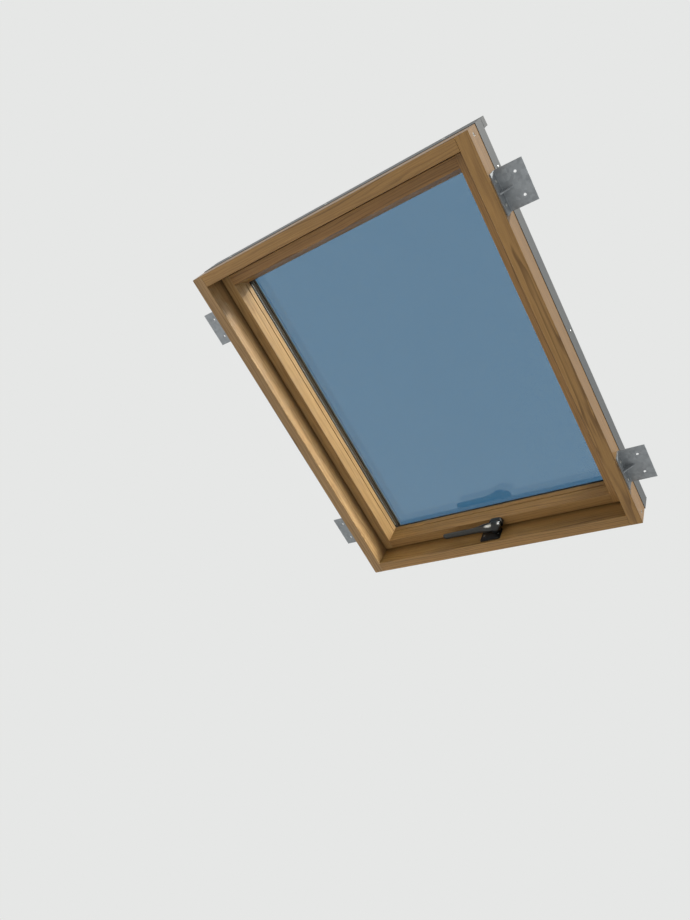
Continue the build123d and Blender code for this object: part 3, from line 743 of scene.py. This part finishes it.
def bronze_lacquer(name, colour, roughness, wear_and_highlight_spot=None):
    """Die casting under a near black lacquer: deep and smooth, with a soft polish by hands.

    The lacquer is worn through to the bright metal round one flat point, on an ellipsoid
    along the lever whose edge is broken up by noise. This bright patch is partly wear and
    partly a painted highlight of the sun on the root.
    """
    material, tree = new_material(name)
    place = add(tree, "TexCoord").outputs["Object"]
    cloud = add(tree, "TexNoise", {"Vector": place, "Scale": 1000 / polish_patch_mm,
                                   "Detail": 4.0})
    rough = add(tree, "MapRange", {"Value": cloud.outputs["Fac"],
                                   "To Min": roughness - 0.05, "To Max": roughness + 0.1})
    polish = add(tree, "MapRange", {"Value": cloud.outputs["Fac"], "From Min": 0.35,
                                    "From Max": 0.75, "To Min": 0.9, "To Max": 1.25})
    tinted = add(tree, "VectorMath", {0: linear(colour)[:3], "Scale": polish.outputs[0]},
                 operation="SCALE")
    casting = add(tree, "BsdfPrincipled", {
        "Base Color": tinted.outputs[0], "Roughness": rough.outputs[0],
        "Specular IOR Level": 0.35, "Coat Weight": 0.3, "Coat Roughness": 0.14,
    })
    # bright worn patch, partly wear and partly a painted highlight of the sun
    if wear_and_highlight_spot:
        near = add(tree, "Mapping", {"Vector": place, "Rotation": (-pitch, 0, 0),
                                     "Location": [-v / 1000 for v in wear_and_highlight_spot]})
        near = add(tree, "Mapping", {"Vector": near.outputs[0],
                                     "Scale": [1000 / half for half in wear_and_highlight_half_mm]})
        away = add(tree, "VectorMath", {0: near.outputs[0]}, operation="LENGTH")
        chips = add(tree, "TexNoise", {"Vector": place, "Scale": 1000 / chip_mm,
                                       "Detail": 5.0})
        edge = add(tree, "Math", {0: chips.outputs["Fac"], 1: chip_strength,
                                  2: away.outputs["Value"]}, operation="MULTIPLY_ADD")
        bright_patch = add(tree, "MapRange", {"Value": edge.outputs[0], "From Min": 1.5,
                                      "From Max": 0.9})
        metal = add(tree, "Mix", {"Factor": bright_patch.outputs[0], first_colour: tinted.outputs[0],
                                  second_colour: linear("#CFCCC4")}, data_type="RGBA")
        tree.links.new(metal.outputs[2], casting.inputs["Base Color"])
        tree.links.new(bright_patch.outputs[0], casting.inputs["Metallic"])
    add(tree, "OutputMaterial", {"Surface": casting.outputs[0]})
    return material


# the lever's bright worn patch also stands in for the sun's highlight: a painted highlight
bronze = bronze_lacquer("dark_bronze_lacquer", "#1F1F1B", roughness=0.28,
                        wear_and_highlight_spot=ridge_spot(wear_and_highlight_reach))
black_cast = bronze_lacquer("black_lacquer", "#0E0E0C", roughness=0.4)
for piece in (lever_skin(bronze), hub_skin(black_cast)):
    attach(piece, "handle")
    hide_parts("handle_lever")


# Spindle and lock: a square steel spindle, clamped by a grub screw in the hub's side, runs
# through a cast base that is screwed on the sash. It turns a cast cam, which hooks into
# the keeper that is screwed on the frame.

socket_share, flat_end_share = 0.5, 0.85  # of the grub screw's radius
socket_depth, end_chamfer, grub_length, grub_proud = 1.8, 0.3, 4.0, 0.1
grub_columns = 24


def grub_skin(material):
    """Grub screw in the hub's side: a round end with a six sided socket.

    The rings go from the socket's floor up its walls, over the flat end and down the side.
    A socket ring's radius is its half width over the cosine of the turn from the nearest
    flat.
    """
    corners = flat_corners("handle_grub_screw")
    low, high = corners.min(0), corners.max(0)
    middle, radius = (low + high) / 2, (high[0] - low[0]) / 2
    turn = np.linspace(0, math.tau, grub_columns, endpoint=False)
    off_flat = np.abs((turn + math.pi / 6) % (math.pi / 3) - math.pi / 6)
    whole, socket = np.ones(grub_columns), socket_share / np.cos(off_flat)
    reach = radius * np.stack([0 * whole, socket, socket, flat_end_share * whole, whole,
                               whole, 0 * whole])
    depth = np.array([socket_depth, socket_depth, 0, 0, end_chamfer, grub_length,
                      grub_length])[:, None] - grub_proud
    spots = np.stack([middle[0] + reach * np.cos(turn),
                      hub_place[1] - hub_radius + depth + 0 * turn,
                      middle[2] + reach * np.sin(turn)], -1)
    return lay("lever_grub_screw", spots, material, sharp=35)


dress(black_cast, "handle_base", "keeper", "locking_cam")
dress(bright_zinc, "handle_spindle")
grub = grub_skin(bright_zinc)
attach(grub, "handle")
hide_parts("handle_grub_screw")
drive_screws("keeper_screws", "frame", length=18)
drive_screws("handle_base_screws", "sash", length=26)
